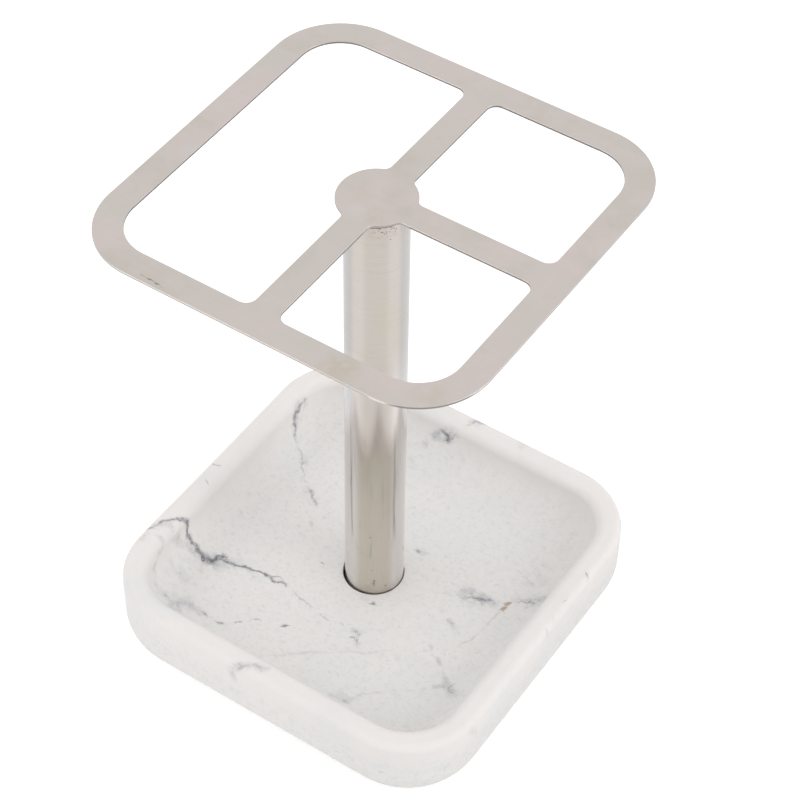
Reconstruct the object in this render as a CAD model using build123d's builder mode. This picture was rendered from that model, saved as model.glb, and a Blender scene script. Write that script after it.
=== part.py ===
from build123d import *
import os

# Razor stand: a flat steel rack on one round post, standing in a dished marble tray.
# Millimetres. Origin: on the post's axis, in the plane the feet rest on. +Z up.
# +X points to the side with the two small windows, +Y along the rack's spine.

# ---------------------------------------------------------------- driving dimensions
# Marble tray
tray_size = (108.6, 109.0)      # along X and along Y
tray_height = 25.0
tray_corner_radius = 21.2
tray_under_radius = 12.0        # the wall turns under the tray with this radius
tray_crest_radius = 2.0         # outer edge of the rim
rim_width = 7.0
rim_inner_radius = 2.8          # inner edge of the rim
dish_depth = 11.9
dish_floor_radius = 8.8         # cove between the dish's wall and its floor

# Socket for the post, and the screw's way in from below
socket_diameter = 17.2
socket_depth = 3.8
socket_offset = (-0.24, 0.0)    # the post stands this far off the loose socket's centre
web_thickness = 3.3             # stone left between the socket and the counterbore
screw_clearance_diameter = 6.2
counterbore_diameter = 17.0

# Rack plate
plate_size = (105.0, 104.5)     # along X and along Y
plate_thickness = 0.6
plate_corner_radius = 19.0
plate_edge_radius = 0.12
frame_width = 7.45
spine_width = 7.3
short_bar_width = 7.5
bars_offset = (-0.2, 0.6)       # where spine and short bar cross, from the plate's centre
window_outer_radius = 11.2      # window corners next to the plate's own corners
window_radius = 2.8
hub_diameter = 19.8
hub_offset = (-0.7, 1.0)        # the hub's disc isn't quite centred on the bars' crossing
hub_fillet = 2.0
crest_to_plate_top = 124.7

# Post
post_diameter = 16.0
post_wall = 1.0
weld_leg = 0.6                  # small enough to stay under the hub's edge
weld_drop = 1.2
weld_belly = 0.6                # how far out and down the bead's face bulges, as a share of its leg and drop

# Threaded plug in the post's lower end, M5
plug_length = 8.0
plug_chamfer = 0.6
thread_diameter = 5.0

# Gasket under the post's foot
gasket_diameter = 16.6
gasket_bore = 7.0
gasket_thickness = 0.8

# Screw and washers, M5
screw_length = 14.0
screw_head_diameter = 9.5
screw_head_height = 2.75
screw_head_radius = 2.2
screw_tip_chamfer = 0.5
hex_key_size = 3.0
hex_key_depth = 1.6
spring_washer_diameter = 9.2
spring_washer_bore = 5.3
spring_washer_thickness = 1.2
spring_washer_slit = 0.6
spring_washer_slant = 25.0      # slit's lean from the washer's axis, in degrees
washer_diameter = 15.0
washer_bore = 5.5
washer_thickness = 1.2
washer_edge = 0.2
soft_washer_thickness = 0.5
slip_gap = 0.02                 # room between the faces that slide when the rack is turned

# Feet
foot_diameter = 11.0
foot_thickness = 2.0
foot_proud = 1.0
foot_edge_radius = 0.6
foot_recess_clearance = 0.3
foot_spacing = 64.0

# ---------------------------------------------------------------- derived heights
tray_under = foot_proud
tray_crest = tray_under + tray_height
dish_floor = tray_crest - dish_depth
socket_bottom = dish_floor - socket_depth
web_bottom = socket_bottom - web_thickness
post_foot = socket_bottom + gasket_thickness + slip_gap
plate_top = tray_crest + crest_to_plate_top
plate_bottom = plate_top - plate_thickness
flat_washer_top = web_bottom - soft_washer_thickness
spring_washer_top = flat_washer_top - washer_thickness - slip_gap
head_top = spring_washer_top - spring_washer_thickness

post_radius = post_diameter / 2
post_bore = post_diameter - 2 * post_wall
same_place = 0.01               # points nearer than this are the same point


def rounded_square(size, radius):
    """Face of a near-square with round corners, centred on the axis."""
    with BuildSketch() as outline:
        RectangleRounded(*size, radius)
    return outline.sketch


# ---------------------------------------------------------------- marble tray
dish_size = tuple(side - 2 * rim_width for side in tray_size)
dish_corner_radius = tray_corner_radius - rim_width

with BuildPart() as marble_tray:
    with BuildSketch(Plane.XY.offset(tray_under)):
        add(rounded_square(tray_size, tray_corner_radius))
    extrude(amount=tray_height)
    under_edges = marble_tray.faces().sort_by(Axis.Z)[0].edges()
    crest_edges = marble_tray.faces().sort_by(Axis.Z)[-1].edges()
    fillet(under_edges, tray_under_radius)
    fillet(crest_edges, tray_crest_radius)

    # Dish: cut straight down, then coved at the floor and eased at the rim.
    with BuildSketch(Plane.XY.offset(tray_crest)):
        add(rounded_square(dish_size, dish_corner_radius))
    extrude(amount=-dish_depth, mode=Mode.SUBTRACT)
    floor_face = marble_tray.faces().filter_by(Axis.Z).sort_by(Axis.Z)[-2]
    fillet(floor_face.outer_wire().edges(), dish_floor_radius)
    rim_face = marble_tray.faces().filter_by(Axis.Z).sort_by(Axis.Z)[-1]
    fillet(rim_face.inner_wires()[0].edges(), rim_inner_radius)

    # Socket in the floor, hole through the web, counterbore from below.
    with Locations((*socket_offset, dish_floor)):
        CounterBoreHole(
            radius=screw_clearance_diameter / 2,
            counter_bore_radius=socket_diameter / 2,
            counter_bore_depth=socket_depth,
        )
    with BuildSketch(Plane.XY.offset(tray_under)):
        with Locations(socket_offset):
            Circle(counterbore_diameter / 2)
    extrude(amount=web_bottom - tray_under, mode=Mode.SUBTRACT)

    # Shallow recesses that the feet are stuck into.
    with BuildSketch(Plane.XY.offset(tray_under)):
        with GridLocations(foot_spacing, foot_spacing, 2, 2):
            Circle(foot_diameter / 2 + foot_recess_clearance)
    extrude(amount=foot_thickness - foot_proud, mode=Mode.SUBTRACT)
marble_tray.part.label = "marble_tray"

# ---------------------------------------------------------------- rack plate
reach_x, reach_y = (side / 2 - frame_width for side in plate_size)
spine_x, short_bar_y = bars_offset


def at_plate_corner(vertex):
    """True for a window's corner next to one of the plate's own corners."""
    return min(abs(vertex.X) - reach_x, abs(vertex.Y) - reach_y) > -same_place


def window(x_low, x_high, y_low, y_high):
    """Window between four lines; its corners next to the plate's own corners are rounder."""
    with BuildSketch() as opening:
        with Locations(((x_low + x_high) / 2, (y_low + y_high) / 2)):
            Rectangle(x_high - x_low, y_high - y_low)
        inner = opening.vertices().filter_by(lambda v: not at_plate_corner(v))
        fillet(inner, window_radius)
        fillet(opening.vertices().filter_by(at_plate_corner), window_outer_radius)
    return opening.sketch


with BuildPart() as rack_plate:
    with BuildSketch(Plane.XY.offset(plate_bottom)) as plate_outline:
        add(rounded_square(plate_size, plate_corner_radius))
        spine_left = spine_x - spine_width / 2
        spine_right = spine_x + spine_width / 2
        short_bar_front = short_bar_y - short_bar_width / 2
        short_bar_back = short_bar_y + short_bar_width / 2
        add(window(-reach_x, spine_left, -reach_y, reach_y), mode=Mode.SUBTRACT)
        add(window(spine_right, reach_x, -reach_y, short_bar_front), mode=Mode.SUBTRACT)
        add(window(spine_right, reach_x, short_bar_back, reach_y), mode=Mode.SUBTRACT)
        with Locations(hub_offset):
            Circle(hub_diameter / 2)
        hub_corners = plate_outline.vertices().filter_by(
            lambda v: abs((Vector(v.X, v.Y) - Vector(*hub_offset)).length - hub_diameter / 2)
            < same_place
        )
        fillet(hub_corners, hub_fillet)
    extrude(amount=plate_thickness)
    fillet(rack_plate.faces().sort_by(Axis.Z)[-1].edges(), plate_edge_radius)
rack_plate.part.label = "rack_plate"

# ---------------------------------------------------------------- post
with BuildPart() as post_tube:
    with BuildSketch(Plane.XY.offset(post_foot)):
        Circle(post_radius)
        Circle(post_bore / 2, mode=Mode.SUBTRACT)
    extrude(amount=plate_bottom - post_foot)
post_tube.part.label = "post_tube"

with BuildPart() as hub_weld:
    with BuildSketch(Plane.XZ):
        with BuildLine():
            Line((post_radius, plate_bottom - weld_drop), (post_radius, plate_bottom))
            Line((post_radius, plate_bottom), (post_radius + weld_leg, plate_bottom))
            ThreePointArc(
                (post_radius + weld_leg, plate_bottom),
                (post_radius + weld_belly * weld_leg, plate_bottom - weld_belly * weld_drop),
                (post_radius, plate_bottom - weld_drop),
            )
        make_face()
    revolve(axis=Axis.Z)
hub_weld.part.label = "hub_weld"

with BuildPart() as threaded_plug:
    with BuildSketch(Plane.XY.offset(post_foot)):
        Circle(post_bore / 2)
        Circle(thread_diameter / 2, mode=Mode.SUBTRACT)
    extrude(amount=plug_length)
    chamfer(threaded_plug.edges().filter_by(GeomType.CIRCLE).group_by(Axis.Z)[0][0], plug_chamfer)
threaded_plug.part.label = "threaded_plug"

with BuildPart() as socket_gasket:
    with BuildSketch(Plane.XY.offset(socket_bottom)):
        with Locations(socket_offset):
            Circle(gasket_diameter / 2)
            Circle(gasket_bore / 2, mode=Mode.SUBTRACT)
    extrude(amount=gasket_thickness)
socket_gasket.part.label = "socket_gasket"


# ---------------------------------------------------------------- fasteners
def washer(top, diameter, bore, thickness):
    """Plain round washer whose upper face is at the height top."""
    with BuildPart() as ring:
        with BuildSketch(Plane.XY.offset(top)):
            Circle(diameter / 2)
            Circle(bore / 2, mode=Mode.SUBTRACT)
        extrude(amount=-thickness)
    return ring.part


with BuildPart() as soft_washer:
    add(washer(web_bottom, washer_diameter, washer_bore, soft_washer_thickness))
soft_washer.part.label = "soft_washer"

with BuildPart() as flat_washer:
    add(washer(flat_washer_top, washer_diameter, washer_bore, washer_thickness))
    outer_edges = flat_washer.edges().filter_by(GeomType.CIRCLE).sort_by(SortBy.RADIUS)[-2:]
    fillet(outer_edges, washer_edge)
flat_washer.part.label = "flat_washer"

with BuildPart() as spring_washer:
    add(washer(spring_washer_top, spring_washer_diameter, spring_washer_bore, spring_washer_thickness))
    slit_centre = Plane(
        origin=(spring_washer_diameter / 2, 0, spring_washer_top - spring_washer_thickness / 2),
        x_dir=(1, 0, 0),
        z_dir=(0, 0, 1),
    ).rotated((spring_washer_slant, 0, 0))
    with BuildSketch(slit_centre):
        Rectangle(spring_washer_diameter / 2, spring_washer_slit)
    extrude(amount=2 * spring_washer_thickness, both=True, mode=Mode.SUBTRACT)
spring_washer.part.label = "spring_washer"

with BuildPart() as clamp_screw:
    with BuildSketch(Plane.XY.offset(head_top)):
        Circle(screw_head_diameter / 2)
    extrude(amount=-screw_head_height)
    fillet(clamp_screw.edges().sort_by(Axis.Z)[0], screw_head_radius)
    with BuildSketch(Plane.XY.offset(head_top - screw_head_height)):
        RegularPolygon(hex_key_size / 2, 6, major_radius=False)
    extrude(amount=hex_key_depth, mode=Mode.SUBTRACT)
    with BuildSketch(Plane.XY.offset(head_top)):
        Circle(thread_diameter / 2)
    extrude(amount=screw_length)
    chamfer(clamp_screw.edges().sort_by(Axis.Z)[-1], screw_tip_chamfer)
clamp_screw.part.label = "clamp_screw"

# ---------------------------------------------------------------- feet
with BuildPart() as rubber_feet:
    with BuildSketch(Plane.XY):
        with GridLocations(foot_spacing, foot_spacing, 2, 2):
            Circle(foot_diameter / 2)
    extrude(amount=foot_thickness)
    fillet(rubber_feet.edges().group_by(Axis.Z)[0], foot_edge_radius)
rubber_feet.part.label = "rubber_feet"

# ---------------------------------------------------------------- files
os.makedirs("parts", exist_ok=True)
export_step(marble_tray.part, "parts/marble_tray.step")
export_step(rubber_feet.part, "parts/rubber_feet.step")
export_step(socket_gasket.part, "parts/socket_gasket.step")
export_step(soft_washer.part, "parts/soft_washer.step")
export_step(flat_washer.part, "parts/flat_washer.step")
export_step(spring_washer.part, "parts/spring_washer.step")
export_step(clamp_screw.part, "parts/clamp_screw.step")
export_step(threaded_plug.part, "parts/threaded_plug.step")
export_step(post_tube.part, "parts/post_tube.step")
export_step(hub_weld.part, "parts/hub_weld.step")
export_step(rack_plate.part, "parts/rack_plate.step")
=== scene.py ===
import bpy
import bmesh
import math
import numpy as np
from mathutils import Matrix, Vector, noise


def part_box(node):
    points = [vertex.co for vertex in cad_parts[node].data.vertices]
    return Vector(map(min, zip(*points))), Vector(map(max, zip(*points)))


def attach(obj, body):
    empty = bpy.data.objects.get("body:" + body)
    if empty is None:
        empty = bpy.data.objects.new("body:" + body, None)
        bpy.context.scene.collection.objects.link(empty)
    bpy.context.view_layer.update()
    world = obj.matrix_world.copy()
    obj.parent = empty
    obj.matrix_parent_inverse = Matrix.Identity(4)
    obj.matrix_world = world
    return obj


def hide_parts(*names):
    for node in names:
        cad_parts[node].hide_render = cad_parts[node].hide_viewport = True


# Looks for the razor stand: a steel rack on one post, in a dished marble tray.
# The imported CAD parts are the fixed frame. Sizes named *_mm are millimetres; the scene is in metres.

MM = 0.001

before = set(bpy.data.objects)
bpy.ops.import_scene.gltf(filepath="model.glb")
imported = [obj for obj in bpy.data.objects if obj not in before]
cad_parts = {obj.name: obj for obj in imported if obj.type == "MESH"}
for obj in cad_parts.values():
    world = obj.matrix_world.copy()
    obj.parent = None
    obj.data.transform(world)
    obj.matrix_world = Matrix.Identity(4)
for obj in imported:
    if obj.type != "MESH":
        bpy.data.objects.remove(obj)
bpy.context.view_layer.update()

tray_low, tray_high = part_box("marble_tray")
plate_low, plate_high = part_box("rack_plate")
tube_low, tube_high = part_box("post_tube")
gasket_low, gasket_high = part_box("socket_gasket")
weld_low, weld_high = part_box("hub_weld")
feet_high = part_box("rubber_feet")[1]
post_radius = (tube_high.x - tube_low.x) / 2

# Where the camera stands: angles in degrees and distance in metres from the point it is aimed at,
# and its lens in millimetres.
camera_azimuth = 33.17
camera_elevation = 47.15
camera_roll = 1.03
camera_distance = 0.5249
camera_lens = 110.16
aim = Vector((39.65 * MM, -49.42 * MM, plate_high.z))

# ---- shared tools for materials


class Paint:
    """One node-based material. Each method adds nodes and gives back the output to use next."""

    def __init__(self, name):
        self.material = bpy.data.materials.new(name)
        self.material.use_nodes = True
        self.tree = self.material.node_tree
        self.tree.nodes.clear()
        self.shader = self.add("ShaderNodeBsdfPrincipled")
        self.add("ShaderNodeOutputMaterial", {"Surface": self.shader.outputs[0]})
        place = self.add("ShaderNodeTexCoord").outputs["Object"]
        self.place = self.vector("SCALE", place, scale=1 / MM)
        self.height = self.split(self.place)[2]

    def set(self, key, node, value):
        """Links value to a node's input, or stores it there if it is a plain one."""
        target = node.inputs[key]
        if isinstance(value, bpy.types.NodeSocket):
            self.tree.links.new(value, target)
        else:
            target.default_value = value

    def add(self, kind, inputs=None, **settings):
        node = self.tree.nodes.new(kind)
        for key, value in settings.items():
            setattr(node, key, value)
        for key, value in (inputs or {}).items():
            self.set(key, node, value)
        return node

    def finish(self, **inputs):
        """Sets the shader's inputs, named with _ for each space, and gives back the material."""
        for key, value in inputs.items():
            self.set(key.replace("_", " "), self.shader, value)
        return self.material

    def math(self, operation, first, second=0.0, third=0.0):
        inputs = {0: first, 1: second, 2: third}
        return self.add("ShaderNodeMath", inputs, operation=operation).outputs[0]

    def vector(self, operation, first, second=(0, 0, 0), scale=1.0):
        inputs = {0: first, 1: second, 3: scale}
        node = self.add("ShaderNodeVectorMath", inputs, operation=operation)
        gives_number = operation in ("LENGTH", "DOT_PRODUCT", "DISTANCE")
        return node.outputs["Value" if gives_number else "Vector"]

    def split(self, vector):
        return self.add("ShaderNodeSeparateXYZ", {0: vector}).outputs

    def spread(self, value, low, high, to_low=0.0, to_high=1.0):
        """value eased from low..high to to_low..to_high."""
        inputs = {0: value, 1: low, 2: high, 3: to_low, 4: to_high}
        node = self.add("ShaderNodeMapRange", inputs, interpolation_type="SMOOTHSTEP")
        return node.outputs[0]

    def noise(self, scale, stretch=(1, 1, 1), detail=4.0, roughness=0.55, shift=0.0):
        """Cloudy noise from 0 to 1, with scale in cycles per millimetre."""
        place = self.vector("MULTIPLY", self.place, stretch)
        place = self.vector("ADD", place, (shift, shift * 0.7, shift * 0.3))
        inputs = {"Vector": place, "Scale": scale, "Detail": detail, "Roughness": roughness}
        return self.add("ShaderNodeTexNoise", inputs).outputs[0]

    def cells(self, scale):
        """Distance to the nearest of many scattered points."""
        inputs = {"Vector": self.place, "Scale": scale}
        return self.add("ShaderNodeTexVoronoi", inputs).outputs[0]

    def value(self, name):
        """A number stored at each point of the mesh."""
        return self.add("ShaderNodeAttribute", attribute_name=name).outputs["Fac"]

    def blend(self, share, first, second):
        """Colour first turning into colour second by share."""
        inputs = {0: share, 6: self.colour(first), 7: self.colour(second)}
        return self.add("ShaderNodeMix", inputs, data_type="RGBA").outputs[2]

    def colour(self, value):
        is_plain = isinstance(value, tuple) and len(value) == 3
        return (*value, 1.0) if is_plain else value

    def bump(self, height, depth_mm, below=None):
        """Small relief. height runs from 0 to 1 and stands for depth_mm."""
        inputs = {"Height": height, "Distance": depth_mm * MM, "Strength": 1.0}
        if below is not None:
            inputs["Normal"] = below
        return self.add("ShaderNodeBump", inputs).outputs[0]


def coat(piece, material):
    """Gives the whole piece one material."""
    piece.data.materials.clear()
    piece.data.materials.append(material)


def new_piece(name, mesh, body):
    """Adds a piece to the scene and fixes it to a body of the frame."""
    piece = bpy.data.objects.new(name, mesh)
    bpy.context.scene.collection.objects.link(piece)
    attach(piece, body)
    return piece


def smooth(mesh, sharp_degrees=38):
    """Rounds the shading, and keeps edges bent by more than sharp_degrees crisp."""
    mesh.shade_smooth()
    mesh.set_sharp_from_angle(angle=math.radians(sharp_degrees))


# ---- marble tray: shape

SIDE_STEPS = 96
CORNER_STEPS = 44
AROUND = 4 * (SIDE_STEPS + CORNER_STEPS)
FLOOR_RINGS = 62
FOOT_STEPS = 64

tray_half_mm = (tray_high.x / MM, tray_high.y / MM)
crest_mm = tray_high.z / MM
under_mm = tray_low.z / MM
corner_mm = 21.2
under_radius_mm = 12.0
crest_radius_mm = 2.0
rim_mm = 7.0
rim_inner_mm = 2.8
dish_mm = crest_mm - 11.9
cove_mm = 8.8
socket_radius_mm = 8.36
socket_lip_mm = 0.15
socket_floor_mm = gasket_low.z / MM
socket_middle_mm = ((gasket_low.x + gasket_high.x) / 2 / MM, (gasket_low.y + gasket_high.y) / 2 / MM)
screw_hole_mm = 3.1
web_mm = 3.3
counterbore_mm = 8.5
foot_radius_mm = 5.5
foot_gap_mm = 0.3
foot_reach_mm = feet_high.x / MM - foot_radius_mm
foot_top_mm = feet_high.z / MM
wear_mm = 0.07
wear_room_mm = 0.1
floor_swell_mm = 0.03


def square_ring(inset):
    """Points round the tray's outline moved inwards by inset: four corner arcs and four sides."""
    radius = corner_mm - inset
    middle_x = tray_half_mm[0] - corner_mm
    middle_y = tray_half_mm[1] - corner_mm
    middles = [(middle_x, middle_y), (-middle_x, middle_y), (-middle_x, -middle_y), (middle_x, -middle_y)]
    arcs = []
    for quarter, middle in enumerate(middles):
        angles = (quarter + np.arange(CORNER_STEPS + 1) / CORNER_STEPS) * math.pi / 2
        arcs.append(np.stack([np.cos(angles), np.sin(angles)], 1) * radius + np.array(middle))
    points = []
    for quarter in range(4):
        first = arcs[quarter][-1]
        last = arcs[(quarter + 1) % 4][0]
        along = (np.arange(SIDE_STEPS) / SIDE_STEPS)[:, None]
        points += [arcs[quarter][:-1], first + (last - first) * along]
    return np.concatenate(points)


def round_ring(radius, middle=(0.0, 0.0), count=AROUND):
    """Points round a circle: evenly spaced, or with AROUND of them, one for each in square_ring."""
    if count == AROUND:
        toward = square_ring(rim_mm + cove_mm)
        toward = toward / np.linalg.norm(toward, axis=1)[:, None]
    else:
        angles = np.arange(count) / count * 2 * math.pi
        toward = np.stack([np.cos(angles), np.sin(angles)], 1)
    return toward * radius + np.array(middle)


def arc(middle, radius, start, end, steps):
    """(inset, height) points on a quarter turn, without the last one."""
    angles = np.radians(np.linspace(start, end, steps + 1)[:-1])
    return [(middle[0] + radius * math.cos(a), middle[1] + radius * math.sin(a)) for a in angles]


def straight(first, last, steps):
    """(inset, height) points on a line, without the last one."""
    shares = np.linspace(0, 1, steps + 1)[:-1]
    return [(first[0] + (last[0] - first[0]) * s, first[1] + (last[1] - first[1]) * s) for s in shares]


def tray_profile():
    """The tray's section from its underside, over the rim, to the dish's floor."""
    inner = rim_mm - rim_inner_mm
    points = arc((under_radius_mm, under_mm + under_radius_mm), under_radius_mm, 270, 180, 18)
    points += straight((0, under_mm + under_radius_mm), (0, crest_mm - crest_radius_mm), 14)
    points += arc((crest_radius_mm, crest_mm - crest_radius_mm), crest_radius_mm, 180, 90, 10)
    points += straight((crest_radius_mm, crest_mm), (inner, crest_mm), 5)
    points += arc((inner, crest_mm - rim_inner_mm), rim_inner_mm, 90, 0, 7)
    points += straight((rim_mm, crest_mm - rim_inner_mm), (rim_mm, dish_mm + cove_mm), 3)
    points += arc((rim_mm + cove_mm, dish_mm + cove_mm), cove_mm, 180, 270, 18)
    return points


def add_ring(mesh, points, height):
    """New points of the mesh, round a ring at one height."""
    return [mesh.verts.new((x * MM, y * MM, height * MM)) for x, y in points]


def bridge(mesh, outer, inner):
    """Faces between two rings of equally many points."""
    count = len(outer)
    for i in range(count):
        j = (i + 1) % count
        mesh.faces.new((outer[i], outer[j], inner[j], inner[i]))


def loop_edges(mesh, ring):
    return [mesh.edges.get((ring[i], ring[(i + 1) % len(ring)])) for i in range(len(ring))]


def wear(points, heights):
    """How far each point of the stone strays from its exact place, as it is ground by hand."""
    drift = []
    for (x, y), z in zip(points, heights):
        slow = noise.noise(Vector((x * 0.05, y * 0.05, z * 0.08)))
        quick = noise.noise(Vector((x * 0.35, y * 0.35, z * 0.35)))
        drift.append(wear_mm * slow + 0.025 * quick)
    return np.array(drift)


def worn_ring(inset, height):
    """A ring of the tray's wall, worn a little. The outer wall also moves in, to stay inside its box."""
    ring = square_ring(inset)
    outward = ring / np.linalg.norm(ring, axis=1)[:, None]
    sign = 1 if inset < rim_mm / 2 else -1
    drift = sign * wear(ring, [height] * AROUND) - wear_room_mm / 2 * (sign + 1)
    return ring + outward * drift[:, None]


def build_walls(mesh):
    """Outer wall, rim and inner wall. Gives back the first ring and the last."""
    first = None
    last = None
    for inset, height in tray_profile():
        ring = square_ring(inset) if first is None else worn_ring(inset, height)
        verts = add_ring(mesh, ring, height)
        if last is not None:
            bridge(mesh, last, verts)
        first = first or verts
        last = verts
    return first, last


def build_dish_floor(mesh, last):
    """Rings from the foot of the inner wall to the socket's edge, swelling a little between them."""
    edge = square_ring(rim_mm + cove_mm)
    lip = round_ring(socket_radius_mm + socket_lip_mm, socket_middle_mm)
    for share in np.linspace(0, 1, FLOOR_RINGS):
        ring = edge * (1 - share) + lip * share
        swell = floor_swell_mm * math.sin(math.pi * share)
        heights = dish_mm + swell * wear(ring * 1.3, [0] * AROUND) / wear_mm
        verts = [mesh.verts.new((x * MM, y * MM, z * MM)) for (x, y), z in zip(ring, heights)]
        bridge(mesh, last, verts)
        last = verts
    return last


def build_socket(mesh, lip):
    """Socket, hole for the screw and counterbore, from the socket's lip to the underside."""
    web_low = socket_floor_mm - web_mm
    steps = [
        (socket_radius_mm, dish_mm - socket_lip_mm),
        (socket_radius_mm, dish_mm - 1.5),
        (socket_radius_mm, socket_floor_mm),
        (screw_hole_mm, socket_floor_mm),
        (screw_hole_mm, web_low),
        (counterbore_mm, web_low),
        (counterbore_mm, under_mm + 2.5),
        (counterbore_mm, under_mm),
    ]
    last = lip
    for radius, height in steps:
        verts = add_ring(mesh, round_ring(radius, socket_middle_mm), height)
        bridge(mesh, last, verts)
        last = verts
    return last


def build_foot_recesses(mesh):
    """Four shallow round recesses. Returns their rings in the underside."""
    rings = []
    for side_x in (-1, 1):
        for side_y in (-1, 1):
            middle = (side_x * foot_reach_mm, side_y * foot_reach_mm)
            circle = round_ring(foot_radius_mm + foot_gap_mm, middle, FOOT_STEPS)
            outer = add_ring(mesh, circle, under_mm)
            inner = add_ring(mesh, circle, foot_top_mm)
            bridge(mesh, outer, inner)
            mesh.faces.new(inner)
            rings.append(outer)
    return rings


def build_tray():
    """The whole stone tray, in place of the CAD one."""
    mesh = bmesh.new()
    under_ring, wall_foot = build_walls(mesh)
    lip = build_dish_floor(mesh, wall_foot)
    counterbore = build_socket(mesh, lip)
    loops = [under_ring, counterbore] + build_foot_recesses(mesh)
    edges = [edge for ring in loops for edge in loop_edges(mesh, ring)]
    bmesh.ops.triangle_fill(mesh, use_beauty=True, use_dissolve=False, edges=edges)
    bmesh.ops.recalc_face_normals(mesh, faces=mesh.faces)
    data = bpy.data.meshes.new("marble_dish")
    mesh.to_mesh(data)
    mesh.free()
    smooth(data)
    piece = new_piece("marble_dish", data, "tray")
    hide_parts("marble_tray")
    return piece


# ---- marble tray: veins

# Each vein is a path seen from above, in millimetres from the post's axis:
# (x, y, half width, darkness) at each bend.
DARK_VEINS = [
    [(-56, -32, .3, .4), (-52.5, -29.5, .35, .7), (-51.5, -26, .4, .6), (-49.5, -24, .3, .8),
     (-48, -22, .45, 1), (-46.5, -22.3, .45, 1), (-44.5, -22, .45, .8), (-41.5, -22.6, .5, 1)],
    [(-41.5, -22.6, .5, 1), (-39.5, -22.6, .75, 1), (-38, -21.5, .75, 1), (-36.8, -19.4, .5, .9)],
    [(-38.5, -22, .5, 1), (-36, -20.5, .3, .8), (-32.5, -20, .3, .9), (-28.5, -18.7, .3, .95),
     (-24, -17.9, .3, .95), (-20, -18.7, .25, .8), (-17, -17.7, .25, .7)],
    [(-14.2, -18.3, .2, .15), (-11.2, -19.2, .25, .4), (-8, -19.5, .2, .35), (-6.2, -19.9, .15, .1)],
    [(-3.4, -20.6, .2, .3), (-2.1, -20.8, .25, .5), (0, -21, .15, .15), (3.5, -20.2, .2, .25)],
    [(-24, -17.9, .25, .6), (-21, -17, .2, .5), (-18, -17.3, .2, .3)],
    [(-47.2, 35.1, .2, .2), (-47.3, 33, .3, .45), (-47.2, 30.5, .35, .8), (-47.1, 28.3, .35, .9),
     (-46.4, 27.6, .3, .7), (-45.3, 26.7, .25, .6), (-44.1, 25, .2, .3), (-42.5, 23.6, .2, .25),
     (-40.5, 23, .2, .4), (-38.7, 20.8, .3, .5), (-35.9, 17.8, .2, .3), (-33.9, 15.5, .2, .2)],
    [(-31.2, 13.7, .3, .4), (-29.5, 12.2, .4, .6), (-28.2, 11.3, .4, .6), (-26.5, 10.2, .25, .3)],
    [(-12.2, 46.8, .2, .2), (-10.2, 47.4, .25, .3), (-8.2, 47.4, .35, .8), (-6.9, 46.9, .4, .8),
     (-4.9, 47.5, .2, .3)],
    [(-2.5, 50.3, .3, .3), (-1.1, 53.3, .4, .6), (.9, 53.3, .35, .6)],
    [(5.7, 12.5, .25, .6), (6.3, 12.4, .3, .8), (6.8, 12.7, .2, .3)],
    [(24.5, 6.6, .2, .2), (26.8, 7.2, .25, .6), (28.6, 7.9, .4, .75), (30.4, 8.3, .4, .6),
     (31.7, 9.2, .3, .3)],
    [(38.5, 13.3, .2, .4), (40.9, 14.6, .3, .6), (43, 15.6, .25, .4)],
    [(7.8, -22.2, .25, .8), (8.1, -22, .2, .7)],
    [(9.6, -22.4, .2, .7), (9.4, -22.2, .2, .6)],
    [(8.9, -20.5, .2, .6), (9, -20.2, .15, .6)],
    [(38.8, -19.6, .15, .3), (38.2, -21.4, .25, .6)],
    [(6.0, -9.7, .28, .8), (6.3, -9.6, .28, .8)],
    [(-13.6, -5.9, .2, .5), (-12.9, -5.9, .2, .5)],
    [(-29.8, -37.8, .25, .5), (-28.5, -38.3, .25, .5)],
    [(-24.5, -38.4, .3, .7), (-23.3, -38, .3, .6)],
    [(-20.8, -35.8, .25, .5), (-19.6, -34.6, .25, .5)],
    [(-17, -32, .25, .5), (-15.8, -31.3, .25, .5)],
    [(-9.4, -29.4, .35, .8), (-8.8, -28.9, .35, .8)],
    [(-5.8, -54.5, .4, .3), (-4.5, -53, .4, .3)],
    [(38.5, -21.9, .3, .5), (39.6, -22.4, .35, .6)],
    [(52.6, 23.3, .25, .5), (53.1, 22.9, .25, .5)],
    [(54, 1.4, .25, .3), (54.6, .9, .25, .3)],
    [(-52.6, -2, .2, .6), (-51, -1.5, .2, .5)],
    [(-50.4, -8, .25, .5), (-50, -8.3, .25, .4)],
]
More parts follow.
